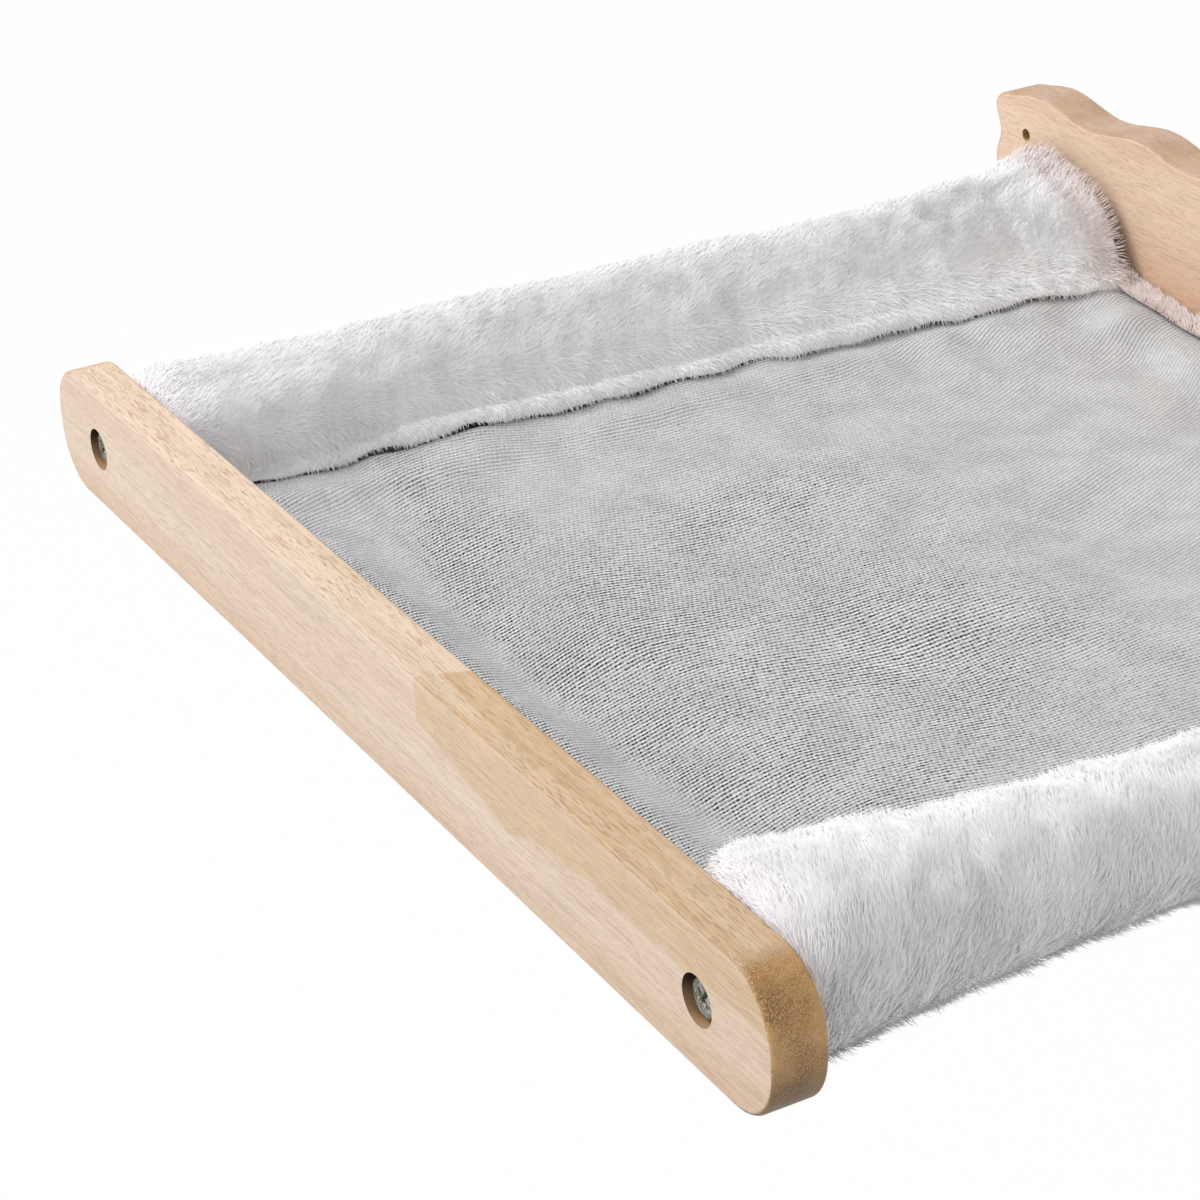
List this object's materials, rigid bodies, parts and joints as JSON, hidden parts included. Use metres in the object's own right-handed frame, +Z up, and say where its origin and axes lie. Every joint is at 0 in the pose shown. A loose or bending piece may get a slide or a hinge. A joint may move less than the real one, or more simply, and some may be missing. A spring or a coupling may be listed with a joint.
{
  "type": "cat hammock shelf",
  "caption": "Wall-mounted cat hammock: a cloth sling with plush sleeves round two dowels, held between a straight front rail and a wavy wall rail.",
  "frame": {"origin": "on the wall, in the middle of the wall rail's back face, midway between the dowels and at the height of their axes", "axes": "+X along the rails to the right as seen from the room, +Y into the wall, +Z up"},
  "size_m": [0.487, 0.4225, 0.0863],
  "materials": {
    "rail_wood": "sanded rubberwood with a thin matt lacquer",
    "dowel_wood": "bare sanded",
    "zinc": "bright zinc plated",
    "insert_metal": "zinc alloy",
    "grey_knit": "fine knit, matt",
    "plush": "soft long pile"
  },
  "bodies": {
    "root": {"front_rail": "rail_wood", "wall_rail": "rail_wood", "left_dowel": "dowel_wood", "right_dowel": "dowel_wood", "left_front_bolt": "zinc", "right_front_bolt": "zinc", "left_wall_bolt": "zinc", "right_wall_bolt": "zinc", "left_front_insert": "insert_metal", "right_front_insert": "insert_metal", "left_wall_insert": "insert_metal", "right_wall_insert": "insert_metal", "knit_panel": "grey_knit", "plush_panel": "plush", "left_sleeve": "plush", "right_sleeve": "plush"}
  },
  "joints": []
}
